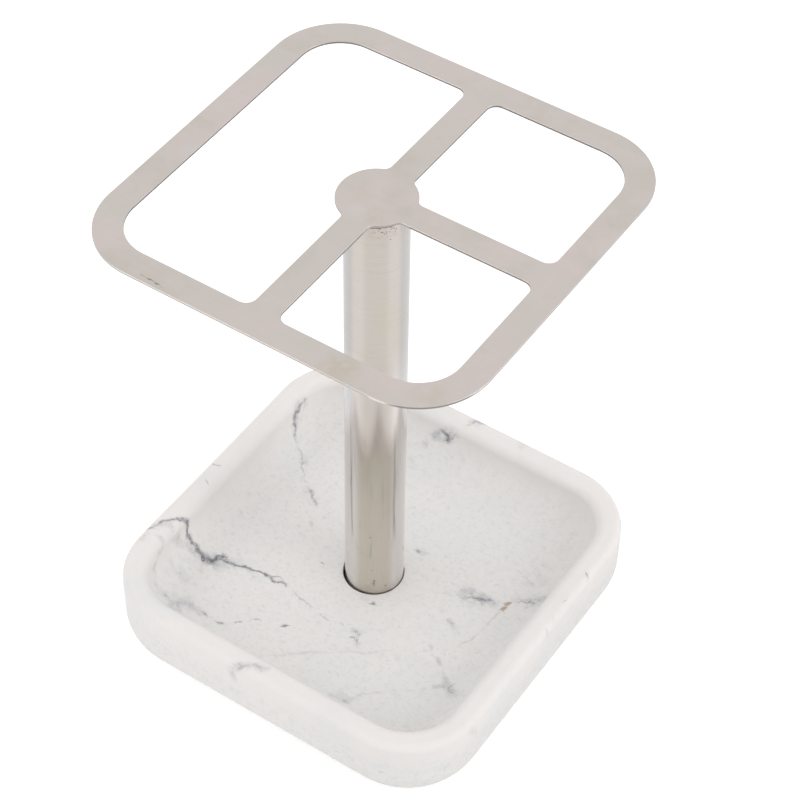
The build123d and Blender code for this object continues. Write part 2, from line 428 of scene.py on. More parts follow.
GREY_VEINS = [
    [(-53, -33, 2.5, .5), (-50, -26, 2.5, .6), (-46, -23.5, 2.2, .6), (-40, -24, 3, .8),
     (-36, -22, 2.2, .7), (-28, -19, 1.4, .5), (-20, -18.3, 1.4, .4), (-12, -18, 1.0, .3)],
    [(-46, -31, 1.5, .4), (-41, -31.5, 2, .5), (-34, -29, 1.5, .3)],
    [(-47.5, 34, 1.4, .4), (-47.2, 30.5, 1.8, .7), (-46.4, 27.6, 1.4, .6), (-44, 25, .9, .4)],
    [(-40.5, 23, 1.2, .4), (-38.7, 20.8, 1.6, .6), (-36, 17.8, .8, .3)],
    [(-32, 14, 1.0, .5), (-29.5, 12, 1.9, .8), (-26.5, 10.2, 1.0, .4)],
    [(-24.3, 4, .7, .6), (-23.3, 3.4, .7, .6)],
    [(-15, 44, 1.8, .4), (-10.5, 47, 2.0, .8), (-7.5, 47.3, 1.7, 1), (-4.5, 47.5, 1.2, .6)],
    [(-2.5, 50.3, 1.4, .4), (-.5, 53.2, 1.6, .7), (1.5, 53, 1.4, .4)],
    [(-19, 42, 1.5, .3), (-12, 38, 1.8, .35)],
    [(4.5, 12.4, 1.0, .5), (6.3, 12.4, 1.3, .7), (8.8, 13.2, .8, .4)],
    [(21.5, 5.4, 1.6, .5), (25.5, 7, 2.4, 1), (29.5, 8, 2.0, 1), (33.5, 10, 1.2, .5)],
    [(36.5, 12.4, 1.2, .6), (41, 14.6, 1.8, .9), (45, 16, 1.3, .8)],
    [(36, 25, 5, .35), (41, 19, 4, .4), (44, 12, 2, .3)],
    [(26.3, -2.8, .9, .7), (28.5, -4.4, 1.0, .7), (31.3, -5.8, .7, .3)],
    [(-50, -31, .8, .5), (-46.5, -37, 1.2, .6), (-42.5, -40, 1.6, .6), (-38, -39.5, 1.8, .8),
     (-33, -37.3, 1.2, .7), (-27, -38.4, 1.0, .6), (-22, -37, .9, .4)],
    [(-37.5, -41.5, 1.6, .8), (-34.5, -42, 1.2, .6)],
    [(-10.5, -51.5, 1.4, .3), (-9, -44, 1.0, .3), (-8, -40, .9, .25), (0, -34, .9, .3),
     (10, -26, .8, .35)],
    [(-7.5, -57, 1.6, .5), (-6, -54, 1.6, .7), (-3, -52, 1.4, .6), (1.5, -50, .9, .5)],
    [(15.2, -42, 1.8, .9), (17.5, -40.2, 1.8, 1), (20, -37.5, 1.0, .5), (24, -33, .6, .4),
     (30, -28, .6, .4), (37, -21.5, 1.0, .7), (41, -22.5, 1.2, .7)],
    [(26.5, -12.6, .7, .5), (31, -15.6, .7, .7), (38, -21, .9, .8)],
    [(4, -9.5, 1.4, .5), (7, -8.8, 1.0, .4)],
    [(7, -20, 1.0, .6), (10, -23, 1.3, .7), (12, -24, .8, .4)],
    [(52, 24, 1.0, .4), (54, 22, 1.0, .3)],
    [(53, 6, 1.2, .3), (56, 1, 1.5, .35)],
    [(-30, 49, 3, .3), (-42, 47, 2.5, .4), (-55, 44, 2, .5)],
    [(12, 57, 1.5, .5), (16, 48, 1.6, .2)],
    [(56, -36, 2, .5), (53.5, -33, 1.2, .3)],
]
RUST_VEINS = [
    [(36, 8.6, .45, 1), (36.1, 10.1, .6, 1), (36.3, 11.2, .4, 1)],
    [(36, 8.2, .2, .3), (35.5, 3, .25, .35), (35.2, -.5, .12, .1), (34.6, -5, .3, .4), (33.1, -8, .2, .2)],
    [(52.7, 12.2, .25, .5), (52.9, 12.5, .25, .5)],
    [(-6.6, -39.3, .3, .1), (-3.2, -36.7, .4, .2), (1.4, -32.5, .4, .22), (5.2, -30.2, .25, .1),
     (9.8, -26.6, .4, .2), (14.8, -23.9, .4, .2), (18.8, -20.2, .25, .1)],
]


def roughen(path, generator, wander):
    """Splits a path's straight runs and moves the new bends sideways, as a crack in stone wanders."""
    points = [np.array(p, float) for p in path]
    for step in range(3):
        finer = [points[0]]
        for first, last in zip(points[:-1], points[1:]):
            middle = (first + last) / 2
            length = np.linalg.norm((last - first)[:2])
            middle[:2] += generator.normal(0, 1, 2) * length * wander
            middle[2] *= generator.uniform(0.6, 1.35)
            finer += [middle, last]
        points = finer
    return points


def inset_of(places):
    """How far inside the tray's outline each place lies, seen from above."""
    past = np.abs(places) - (np.array(tray_half_mm) - corner_mm)
    in_corner = (past > 0).all(1)
    inset = np.minimum(*(np.array(tray_half_mm) - np.abs(places)).T)
    return np.where(in_corner, corner_mm - np.linalg.norm(past, axis=1), inset)


def unroll(places, heights, is_outside):
    """Spreads the tray's walls out flat, so that a mark on a steep wall isn't drawn out along it."""
    outward = places / np.maximum(np.linalg.norm(places, axis=1), 1e-6)[:, None]
    rise = np.where(is_outside, 2 * crest_mm - dish_mm - heights, heights - dish_mm)
    return places + outward * (0.6 * rise)[:, None]


def unroll_path(path):
    """The same for a vein's path, whose heights follow from the section of the rim and the dish."""
    points = np.array(path, float)
    section = [(0.0, crest_mm)] + tray_profile()[-28:] + [(rim_mm + cove_mm, dish_mm)]
    insets, levels = np.array(section).T
    heights = np.interp(inset_of(points[:, :2]), insets, levels)
    points[:, :2] = unroll(points[:, :2], heights, np.zeros(len(points), bool))
    return points


def runs_of(veins, seed, wander):
    """Every straight run of every roughened vein, as its two ends."""
    generator = np.random.default_rng(seed)
    for path in veins:
        points = roughen(unroll_path(path), generator, wander)
        for first, last in zip(points[:-1], points[1:]):
            yield first, last


def beside(places, first, last):
    """For each place: its offset from a run, the distance, the half width and the darkness there."""
    run = last[:2] - first[:2]
    size = max(np.hypot(*run), 1e-6)
    offset = places - first[:2]
    share = np.clip(offset @ run / size ** 2, 0, 1)
    gap = np.linalg.norm(offset - share[:, None] * run, axis=1)
    side = np.sign(offset[:, 0] * run[1] - offset[:, 1] * run[0] + 1e-9)
    width = first[2] + (last[2] - first[2]) * share
    dark = first[3] + (last[3] - first[3]) * share
    return side, gap, width, dark


def nearest_vein(places, veins, seed, wander, reach):
    """For each place: signed distance to the closest vein, its half width and its darkness.

    The darkness is 0 further than reach from a vein, so no line shows where two veins' areas meet.
    """
    best = np.full(len(places), 1e3)
    across = np.full(len(places), 1e3)
    half = np.full(len(places), 0.3)
    dark = np.zeros(len(places))
    for first, last in runs_of(veins, seed, wander):
        side, gap, width, darkness = beside(places, first, last)
        near = gap - width < best
        best = np.where(near, gap - width, best)
        across = np.where(near, gap * side, across)
        half = np.where(near, width, half)
        dark = np.where(near, darkness, dark)
    return np.clip(across, -30, 30), half, np.where(best > reach, 0, dark)


def haze_round(places, veins, seed, wander, base, spread):
    """For each place: how deep it lies in the soft haze round the veins, from 0 to 1."""
    haze = np.zeros(len(places))
    for first, last in runs_of(veins, seed, wander):
        side, gap, width, darkness = beside(places, first, last)
        haze = np.maximum(haze, darkness * np.exp(-(gap / (base + spread * width)) ** 2))
    return haze


def store(mesh, name, values):
    """Keeps one number for each point of the mesh, for Paint.value to read."""
    attribute = mesh.attributes.new(name, "FLOAT", "POINT")
    attribute.data.foreach_set("value", np.asarray(values, np.float32))


def draw_veins(piece):
    """Stores where each point of the stone lies beside the veins, for the material to read."""
    mesh = piece.data
    co = np.zeros(len(mesh.vertices) * 3, np.float32)
    mesh.vertices.foreach_get("co", co)
    places = co.reshape(-1, 3) / MM
    is_outside = (inset_of(places[:, :2]) < crest_radius_mm) | (places[:, 2] < dish_mm - 1)
    flat = unroll(places[:, :2], places[:, 2], is_outside)
    store(mesh, "halo", haze_round(flat, DARK_VEINS, 5, 0.13, 0.15, 1.9))
    store(mesh, "haze", haze_round(flat, GREY_VEINS, 8, 0.10, 0.0, 1.2))
    for name, veins, seed, wander in (("dark", DARK_VEINS, 5, 0.13), ("rust", RUST_VEINS, 3, 0.05)):
        across, half, strength = nearest_vein(flat, veins, seed, wander, 0.8)
        store(mesh, name + "_across", across)
        store(mesh, name + "_half", half)
        store(mesh, name + "_strength", strength)


# ---- marble tray: material


def vein_mask(paint, name, wiggle, softness):
    """1 on the vein's line and 0 away from it, times the vein's darkness there."""
    across = paint.value(name + "_across")
    fine = paint.math("SUBTRACT", paint.noise(0.8, detail=3, roughness=0.5), 0.5)
    wavy = paint.math("MULTIPLY_ADD", fine, wiggle, across)
    gap = paint.math("ABSOLUTE", wavy)
    share = paint.math("DIVIDE", gap, paint.value(name + "_half"))
    line = paint.spread(share, 1.0 + softness, 1.0 - softness, 0, 1)
    return paint.math("MULTIPLY", line, paint.value(name + "_strength"))


def streaks(paint, scale, low, high, shift):
    """Short broken marks that mostly run along X, as the stone's grain does."""
    turned = paint.noise(scale, stretch=(0.65, 1.0, 0.9), detail=4, roughness=0.62, shift=shift)
    return paint.spread(turned, low, high, 0, 1)


def smoky(paint, depth, scale, shift):
    """Turns an even haze into cloudy, ragged patches."""
    cloud = paint.noise(scale, stretch=(0.8, 1.0, 0.9), detail=5, roughness=0.62, shift=shift)
    patchy = paint.math("MULTIPLY", depth, paint.spread(cloud, 0.3, 0.7, 0.3, 1.5))
    return paint.spread(patchy, 0.12, 1.05, 0, 1)


def stone_colour(paint):
    """White ground with soft grey and pinkish clouds; cooler and greyer low in the dish, partly a cooler
    stone and partly painted shade in the dish's hollow.
    """
    # in_dish darkens the dish: a cooler stone tone there plus painted shade in the hollow.
    in_dish = paint.spread(paint.height, dish_mm + 8, dish_mm + 1, 0, 1)
    colour = paint.blend(in_dish, (0.757, 0.728, 0.709), (0.729, 0.713, 0.699))
    cloud = paint.spread(paint.noise(0.035, detail=5, roughness=0.6), 0.42, 0.7, 0, 0.6)
    colour = paint.blend(cloud, colour, (0.700, 0.700, 0.694))
    blush = paint.spread(paint.noise(0.05, detail=3, shift=90), 0.5, 0.75, 0, 0.5)
    colour = paint.blend(blush, colour, (0.765, 0.725, 0.700))
    # Grey mottle and grain grow stronger in the dish, adding to its painted shade.
    share = paint.math("MULTIPLY_ADD", in_dish, 0.32, 0.08)
    mottle = paint.spread(paint.noise(0.45, detail=6, roughness=0.74, shift=12), 0.46, 0.76, 0, 1)
    colour = paint.blend(paint.math("MULTIPLY", mottle, share), colour, (0.55, 0.55, 0.55))
    grain = streaks(paint, 1.1, 0.52, 0.78, 130)
    return paint.blend(paint.math("MULTIPLY", grain, share), colour, (0.46, 0.455, 0.45))


def cloudy_veins(paint, colour):
    """Grey haze with darker flecks in it, and a closer halo round the dark veins."""
    ink = (0.285, 0.288, 0.315)
    haze = smoky(paint, paint.value("haze"), 0.32, 44)
    colour = paint.blend(paint.math("MULTIPLY", haze, 0.58), colour, (0.455, 0.457, 0.475))
    flecks = paint.math("MULTIPLY", haze, streaks(paint, 0.8, 0.5, 0.72, 7))
    colour = paint.blend(paint.math("MULTIPLY", flecks, 0.65), colour, ink)
    halo = smoky(paint, paint.value("halo"), 0.7, 61)
    return paint.blend(paint.math("MULTIPLY", halo, 0.52), colour, ink)


def dark_line(paint):
    """1 on the dark veins and 0 away from them, weaker in places along their length."""
    line = vein_mask(paint, "dark", 0.42, 0.85)
    patches = paint.noise(0.9, detail=5, roughness=0.65, shift=31)
    return paint.math("MULTIPLY", line, paint.spread(patches, 0.38, 0.58, 0.25, 1))


def rust_marks(paint, colour):
    rust = vein_mask(paint, "rust", 0.8, 0.6)
    rust = paint.math("MULTIPLY", rust, streaks(paint, 0.9, 0.32, 0.52, 77))
    return paint.blend(paint.math("MULTIPLY", rust, 0.8), colour, (0.38, 0.25, 0.16))


def stone_specks(paint, colour):
    """Small grey specks, in loose groups."""
    specks = paint.spread(paint.cells(0.42), 0.12, 0.05, 0, 1)
    groups = paint.spread(paint.noise(0.22, detail=3, shift=55), 0.58, 0.70, 0, 1)
    specks = paint.math("MULTIPLY", specks, groups)
    return paint.blend(paint.math("MULTIPLY", specks, 0.4), colour, (0.3, 0.3, 0.31))


def marble_material():
    paint = Paint("honed_marble")
    line = dark_line(paint)
    colour = cloudy_veins(paint, stone_colour(paint))
    colour = paint.blend(paint.math("MULTIPLY", line, 0.9), colour, (0.125, 0.127, 0.148))
    colour = rust_marks(paint, colour)
    colour = stone_specks(paint, colour)

    grain = paint.noise(2.4, detail=4, roughness=0.7, shift=3)
    roughness = paint.spread(grain, 0.3, 0.7, 0.54, 0.68)
    roughness = paint.math("MULTIPLY_ADD", line, -0.12, roughness)
    waves = paint.bump(paint.noise(0.12, detail=2), 0.05)
    return paint.finish(
        Base_Color=colour,
        Roughness=roughness,
        Normal=paint.bump(grain, 0.012, waves),
        Specular_IOR_Level=0.22,
        Subsurface_Weight=0.2,
        Subsurface_Radius=(1.0, 0.95, 0.88),
        Subsurface_Scale=0.0022,
    )


# ---- steel materials

plate_corner_mm = 19.0
post_foot_mm = tube_low.z / MM
weld_low_mm = weld_low.z / MM
weld_high_mm = weld_high.z / MM


def cut_edge_share(paint):
    """1 on upright faces, 0 on level ones."""
    facing = paint.add("ShaderNodeNewGeometry").outputs["True Normal"]
    upright = paint.math("ABSOLUTE", paint.split(facing)[2])
    return paint.spread(upright, 0.5, 0.1, 0, 1)


def near_outline_share(paint):
    """1 close to the rack's outer edge, 0 at its windows."""
    x, y, z = paint.split(paint.vector("ABSOLUTE", paint.place))
    straight_x = plate_high.x / MM - plate_corner_mm
    straight_y = plate_high.y / MM - plate_corner_mm
    past_x = paint.math("MAXIMUM", paint.math("SUBTRACT", x, straight_x), 0.0)
    past_y = paint.math("MAXIMUM", paint.math("SUBTRACT", y, straight_y), 0.0)
    past = paint.add("ShaderNodeCombineXYZ", {0: past_x, 1: past_y}).outputs[0]
    return paint.spread(paint.vector("LENGTH", past), plate_corner_mm - 1.5, plate_corner_mm - 1.0, 0, 1)


def near_corner_angle(paint):
    """Direction from the middle of the rack's corner curve at +X, -Y, in degrees from +X."""
    x, y, z = paint.split(paint.place)
    past_x = paint.math("SUBTRACT", x, plate_high.x / MM - plate_corner_mm)
    past_y = paint.math("SUBTRACT", y, plate_low.y / MM + plate_corner_mm)
    return paint.math("DEGREES", paint.math("ARCTAN2", past_y, past_x))


def outline_painted_light(paint):
    """The rack's outer edge: satin, with a painted highlight where the corner curve begins and a painted
    dark reflection (dull) on the curve.
    """
    angle = near_corner_angle(paint)
    # Painted dark reflection along the near corner curve.
    dull = paint.math("MULTIPLY", paint.spread(angle, -78, -68), paint.spread(angle, -12, -24))
    colour = paint.blend(dull, (0.53, 0.505, 0.485), (0.30, 0.285, 0.275))
    # Painted highlight where the corner curve begins.
    off_bright = paint.math("ABSOLUTE", paint.math("ADD", angle, 84.0))
    return paint.blend(paint.spread(off_bright, 9, 4, 0, 0.9), colour, (0.80, 0.775, 0.75))


def window_edge_painted_shade(paint):
    """Edges round the windows: painted dark reflection on the cut faces, lighter round the hub as a painted
    highlight.
    """
    hub_highlight = paint.spread(from_axis(paint), 12.5, 10.5, 0, 1)
    # Painted dark reflection on the window edges, painted highlight round the hub.
    return paint.blend(hub_highlight, (0.27, 0.245, 0.235), (0.44, 0.415, 0.395))


# Fine marks on the rack's face: x, y, half length along X, half width and darkness. Millimetres.
RACK_MARKS = [
    (-29.2, -50.6, 1.1, 0.10, 0.45),
    (-26.9, -50.6, 1.3, 0.16, 0.80),
    (-25.0, -50.8, 0.7, 0.20, 0.85),
    (-23.6, -51.0, 0.7, 0.09, 0.45),
]
# Faint straw-coloured patches on the rack's face: x, y, radius and strength.
RACK_PATCHES = [
    (23.5, -49.4, 6.5, 0.75),
    (44.0, -45.0, 6.0, 0.4),
    (3.0, -5.0, 4.5, 0.4),
    (-6.0, 1.5, 4.0, 0.3),
]


def rack_marks(paint, colour):
    """Adds the straw-coloured patches and the scratches to the rack's colour."""
    for x, y, radius, strength in RACK_PATCHES:
        patch = paint.spread(from_axis(paint, (x, y)), radius, radius * 0.3, 0, strength)
        cloud = paint.spread(paint.noise(0.35, detail=3, shift=x), 0.35, 0.6, 0.2, 1)
        patch = paint.math("MULTIPLY", patch, cloud)
        colour = paint.blend(patch, colour, (0.535, 0.485, 0.405))
    wavy = paint.math("SUBTRACT", paint.noise(0.9, detail=2, shift=33), 0.5)
    for x, y, half_length, half_width, darkness in RACK_MARKS:
        offset = paint.vector("SUBTRACT", paint.place, (x, y, plate_high.z / MM))
        offset = paint.vector("ADD", offset, paint.add("ShaderNodeCombineXYZ", {1: wavy}).outputs[0])
        offset = paint.vector("MULTIPLY", offset, (1 / half_length, 1 / half_width, 0.1))
        mark = paint.spread(paint.vector("LENGTH", offset), 1.4, 0.4, 0, darkness)
        colour = paint.blend(mark, colour, (0.17, 0.15, 0.14))
    return colour


def from_axis(paint, middle=(0.0, 0.0)):
    """Distance from an upright axis through middle, in millimetres."""
    level = paint.vector("MULTIPLY", paint.place, (1, 1, 0))
    return paint.vector("DISTANCE", level, (middle[0], middle[1], 0))


# Pits near the post's foot: direction in degrees from +X, height and radius in millimetres.
POST_PITS = [(-56.6, 19.6, 0.45), (-33.8, 16.9, 0.4), (-60, 24, 0.25), (-64, 37.6, 0.3)]


def from_post_point(paint, angle, height):
    """Distance from one point on the post's outside, in millimetres."""
    radius = tube_high.x / MM
    a = math.radians(angle)
    return paint.vector("DISTANCE", paint.place, (radius * math.cos(a), radius * math.sin(a), height))


def rack_tints(paint):
    """Steel in broad patches of faintly different tints."""
    patch = paint.spread(paint.noise(0.055, detail=3), 0.42, 0.66, 0, 0.8)
    colour = paint.blend(patch, (0.585, 0.542, 0.512), (0.625, 0.553, 0.535))
    patch = paint.spread(paint.noise(0.07, detail=3, shift=50), 0.5, 0.72, 0, 0.85)
    colour = paint.blend(patch, colour, (0.55, 0.515, 0.462))
    patch = paint.spread(paint.noise(0.09, detail=3, shift=80), 0.55, 0.75, 0, 0.5)
    return paint.blend(patch, colour, (0.62, 0.59, 0.565))


def rack_face_colour(paint, rolled):
    """The tints with rolling lines, smudges, heat tint round the hub and the marks on top."""
    lines = paint.spread(rolled, 0.3, 0.75, 0, 0.12)
    colour = paint.blend(lines, rack_tints(paint), (0.50, 0.465, 0.44))
    smudge = paint.spread(paint.noise(0.3, detail=4, shift=17), 0.6, 0.78, 0, 0.25)
    colour = paint.blend(smudge, colour, (0.48, 0.44, 0.40))
    heat = paint.spread(from_axis(paint), 11, 6.5, 0, 1)
    heat = paint.math("MULTIPLY", heat, paint.spread(paint.noise(0.25, shift=9), 0.4, 0.7, 0, 0.22))
    colour = paint.blend(heat, colour, (0.56, 0.50, 0.42))
    return rack_marks(paint, colour)


def rack_material():
    paint = Paint("satin_rack_steel")
    rolled = paint.noise(1.0, stretch=(0.04, 2.6, 1), detail=4, roughness=0.6)
    edge = cut_edge_share(paint)
    # Upright cut faces take painted light: highlight and dark reflection on the outer edge, painted shade
    # on the window edges.
    edge_colour = paint.blend(near_outline_share(paint), window_edge_painted_shade(paint), outline_painted_light(paint))
    colour = paint.blend(edge, rack_face_colour(paint, rolled), edge_colour)
    roughness = paint.spread(rolled, 0.3, 0.7, 0.32, 0.37)
    roughness = paint.math("MULTIPLY_ADD", edge, 0.1, roughness)
    relief = paint.bump(rolled, 0.0012)
    relief = paint.bump(paint.noise(0.03, detail=2, shift=70), 0.12, relief)
    return paint.finish(Base_Color=colour, Metallic=1.0, Roughness=roughness, Normal=relief)


def facing_angle(paint, turn=0.0):
    """How far round the post a point is from the side that faces the camera, in degrees."""
    x, y, z = paint.split(paint.place)
    azimuth = paint.math("DEGREES", paint.math("ARCTAN2", x, paint.math("MULTIPLY", y, -1.0)))
    aside = paint.math("ABSOLUTE", paint.math("SUBTRACT", azimuth, camera_azimuth + turn))
    return paint.math("PINGPONG", aside, 180.0)


def post_painted_reflections(paint, colour, drawn):
    """Lower part: painted brown reflection streaks and a painted straw-tinted reflection in front, and
    bright painted highlights on both flanks higher up.
    """
    low_part = paint.spread(paint.height, post_foot_mm + 66, post_foot_mm + 50, 0, 1)
    # Painted dark reflection streaks on the lower part.
    dark_reflection = paint.math("MULTIPLY", low_part, paint.spread(drawn, 0.50, 0.72, 0, 0.22))
    colour = paint.blend(dark_reflection, colour, (0.33, 0.29, 0.25))
    flank = paint.spread(facing_angle(paint), 24, 42, 0, 1)
    # Painted straw-tinted reflection of the tray on the lower front.
    front = paint.math("MULTIPLY", low_part, paint.math("SUBTRACT", 1.0, flank))
    colour = paint.blend(paint.math("MULTIPLY", front, 0.7), colour, (0.645, 0.602, 0.510))
    # Painted highlight on both flanks of the upper part.
    highlight_zone = paint.spread(paint.height, post_foot_mm + 100, post_foot_mm + 72, 0, 1)
    return paint.blend(paint.math("MULTIPLY", highlight_zone, flank), colour, (0.745, 0.715, 0.69))


def post_reflection_streaks(paint, colour, drawn):
    """Painted dark reflection: one thin dark streak down each flank, fading out towards both ends."""
    off_streak = paint.math("ABSOLUTE", paint.math("SUBTRACT", facing_angle(paint, -4.5), 43.5))
    streak = paint.spread(off_streak, 4.2, 0.4, 0, 1)
    streak = paint.math("MULTIPLY", streak, paint.spread(paint.height, 84, 70, 0, 1))
    streak = paint.math("MULTIPLY", streak, paint.spread(paint.height, 28, 46, 0, 0.38))
    streak = paint.math("MULTIPLY", streak, paint.spread(drawn, 0.3, 0.55, 0.25, 1))
    # Painted dark reflection streak.
    return paint.blend(streak, colour, (0.25, 0.225, 0.20))


def post_foot_shade_and_pits(paint, colour):
    """Painted shade just above the socket, with a few pits."""
    # Painted shade at the post's foot, above the socket.
    foot = paint.spread(paint.height, dish_mm + 5, dish_mm - 1, 0, 0.25)
    colour = paint.blend(foot, colour, (0.30, 0.26, 0.21))
    for angle, pit_height, size in POST_PITS:
        gap = from_post_point(paint, angle, pit_height)
        pit = paint.spread(gap, size, size * 0.45, 0, 0.75)
        colour = paint.blend(pit, colour, (0.20, 0.16, 0.12))
    return colour


def post_heat_marks(paint, colour):
    """Straw tint below the weld, and burnt dots close under it on the near side."""
    near_weld = paint.spread(paint.height, weld_low_mm - 8, weld_high_mm - 2, 0, 1)
    cloud = paint.spread(paint.noise(0.3, shift=66), 0.4, 0.7, 0.1, 0.5)
    colour = paint.blend(paint.math("MULTIPLY", near_weld, cloud), colour, (0.50, 0.435, 0.355))
    burnt = paint.spread(facing_angle(paint, 19.0), 30, 12, 0, 1)
    close = paint.spread(paint.height, weld_low_mm - 3.2, weld_low_mm - 0.6, 0, 1)
    burnt = paint.math("MULTIPLY", burnt, close)
    dots = paint.spread(paint.cells(1.25), 0.30, 0.16, 0, 0.85)
    groups = paint.spread(paint.noise(0.8, shift=28), 0.42, 0.55, 0, 1)
    dots = paint.math("MULTIPLY", dots, groups)
    return paint.blend(paint.math("MULTIPLY", dots, burnt), colour, (0.19, 0.145, 0.11))


def post_material():
    """Steel tube: turned lines on its upper part, mirror-like below."""
    paint = Paint("polished_post_steel")
    patch = paint.spread(paint.noise(0.12, stretch=(1, 1, 0.4), detail=3), 0.45, 0.7, 0, 0.7)
    colour = paint.blend(patch, (0.600, 0.560, 0.525), (0.595, 0.555, 0.490))
    upper = paint.spread(paint.height, post_foot_mm + 60, post_foot_mm + 95, 0, 1)
    turned = paint.noise(1.0, stretch=(0.1, 0.1, 4.0), detail=4, roughness=0.6)
    lines = paint.math("MULTIPLY", upper, paint.spread(turned, 0.4, 0.75, 0, 0.22))
    colour = paint.blend(lines, colour, (0.46, 0.42, 0.37))
    drawn = paint.noise(0.9, stretch=(1, 1, 0.035), detail=5, roughness=0.6, shift=5)
    colour = post_painted_reflections(paint, colour, drawn)
    colour = post_reflection_streaks(paint, colour, drawn)
    colour = post_foot_shade_and_pits(paint, colour)
    colour = post_heat_marks(paint, colour)

    roughness = paint.math("MULTIPLY_ADD", upper, 0.06, 0.10)
    roughness = paint.math("MULTIPLY_ADD", lines, 0.3, roughness)
    return paint.finish(
        Base_Color=colour,
        Metallic=1.0,
        Roughness=roughness,
        Anisotropic=0.5,
        Tangent=paint.add("ShaderNodeCombineXYZ", {2: 1.0}).outputs[0],
        Normal=paint.bump(paint.math("MULTIPLY", turned, upper), 0.0003),
    )


def weld_material():
    paint = Paint("heat_tinted_weld")
    ripples = paint.noise(0.9, detail=5, roughness=0.65)
    colour = paint.blend(paint.spread(ripples, 0.35, 0.7), (0.42, 0.36, 0.30), (0.26, 0.21, 0.17))
    tint = paint.spread(paint.noise(0.35, detail=3, shift=14), 0.45, 0.7, 0, 0.7)
    colour = paint.blend(tint, colour, (0.25, 0.23, 0.29))
    roughness = paint.spread(ripples, 0.3, 0.7, 0.3, 0.5)
    return paint.finish(
        Base_Color=colour, Metallic=1.0, Roughness=roughness, Normal=paint.bump(ripples, 0.05)
    )


def plated_material(name, base, dull, seed):
    """Zinc-plated or plain fastener steel."""
    paint = Paint(name)
    cloud = paint.noise(0.5, detail=5, shift=seed)
    colour = paint.blend(paint.spread(cloud, 0.35, 0.7), base, dull)
    turned = paint.noise(3.0, stretch=(1, 1, 2.5), detail=3, shift=seed + 5)
    wear_spots = paint.spread(paint.noise(1.4, detail=4, shift=seed + 9), 0.62, 0.72, 0, 0.5)
    colour = paint.blend(wear_spots, colour, (0.30, 0.27, 0.24))
    roughness = paint.spread(turned, 0.3, 0.7, 0.26, 0.42)
    return paint.finish(
        Base_Color=colour, Metallic=1.0, Roughness=roughness, Normal=paint.bump(turned, 0.008)
    )


# ---- rubber and fibre materials


def rubber_material(name, base, dusty, roughness_low, clear):
    """Rubber with dusty patches and fine pores; clear is the share of light that passes through."""
    paint = Paint(name)
    dust = paint.spread(paint.noise(0.8, detail=5), 0.45, 0.75, 0, 0.6)
    colour = paint.blend(dust, base, dusty)
    pores = paint.cells(1.6)
    roughness = paint.spread(pores, 0.1, 0.6, roughness_low, roughness_low + 0.15)
    return paint.finish(
        Base_Color=colour,
        Roughness=roughness,
        Transmission_Weight=clear,
        IOR=1.42,
        Normal=paint.bump(pores, 0.02),
    )


def fibre_material():
    paint = Paint("pressed_fibre")
    strands = paint.noise(1.2, stretch=(3, 0.6, 1), detail=6, roughness=0.7)
    colour = paint.blend(paint.spread(strands, 0.35, 0.7), (0.33, 0.07, 0.045), (0.2, 0.045, 0.03))
    roughness = paint.spread(strands, 0.3, 0.7, 0.7, 0.9)
    return paint.finish(Base_Color=colour, Roughness=roughness, Normal=paint.bump(strands, 0.03))


# ---- weld bead and spatter


WELD_AROUND = 260
WELD_ACROSS = 12
WELD_RIPPLES = 34


def weld_sizes():
    """How large the bead is at each step round the post; it changes from ripple to ripple."""
    generator = np.random.default_rng(21)
    places = np.linspace(0, WELD_AROUND, WELD_RIPPLES)
    size = np.interp(np.arange(WELD_AROUND), places, generator.uniform(0.72, 1.0, WELD_RIPPLES))
    size[-8:] = np.linspace(size[-8], size[0], 8)
    return size


def weld_section(size):
    """(distance from the axis, height) points on the bead's quarter-round section."""
    leg = weld_high.x - post_radius
    drop = weld_high.z - weld_low.z
    points = []
    for j in range(WELD_ACROSS + 1):
        turn = math.pi / 2 * j / WELD_ACROSS
        reach = (leg - 0.02 * MM) * size * math.cos(turn)
        fall = drop * size * math.sin(turn)
        sunk = 0.1 * MM * (j == WELD_ACROSS)
        points.append((post_radius - sunk + reach, weld_high.z - fall))
    return points


def build_weld():
    """Hand-laid bead under the hub: a ring of overlapping ripples of uneven size."""
    mesh = bmesh.new()
    rings = []
    for i, size in enumerate(weld_sizes()):
        angle = 2 * math.pi * i / WELD_AROUND
        ripple = size * (0.93 + 0.07 * math.cos(angle * WELD_RIPPLES))
        section = weld_section(ripple)
        ring = [mesh.verts.new((out * math.cos(angle), out * math.sin(angle), z)) for out, z in section]
        rings.append(ring)
    for i, first in enumerate(rings):
        last = rings[(i + 1) % WELD_AROUND]
        for j in range(WELD_ACROSS):
            mesh.faces.new((first[j], first[j + 1], last[j + 1], last[j]))
        mesh.faces.new((first[0], last[0], last[-1], first[-1]))
    bmesh.ops.recalc_face_normals(mesh, faces=mesh.faces)
    data = bpy.data.meshes.new("weld_bead")
    mesh.to_mesh(data)
    mesh.free()
    smooth(data, 50)
    piece = new_piece("weld_bead", data, "rack")
    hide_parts("hub_weld")
    coat(piece, weld_material())


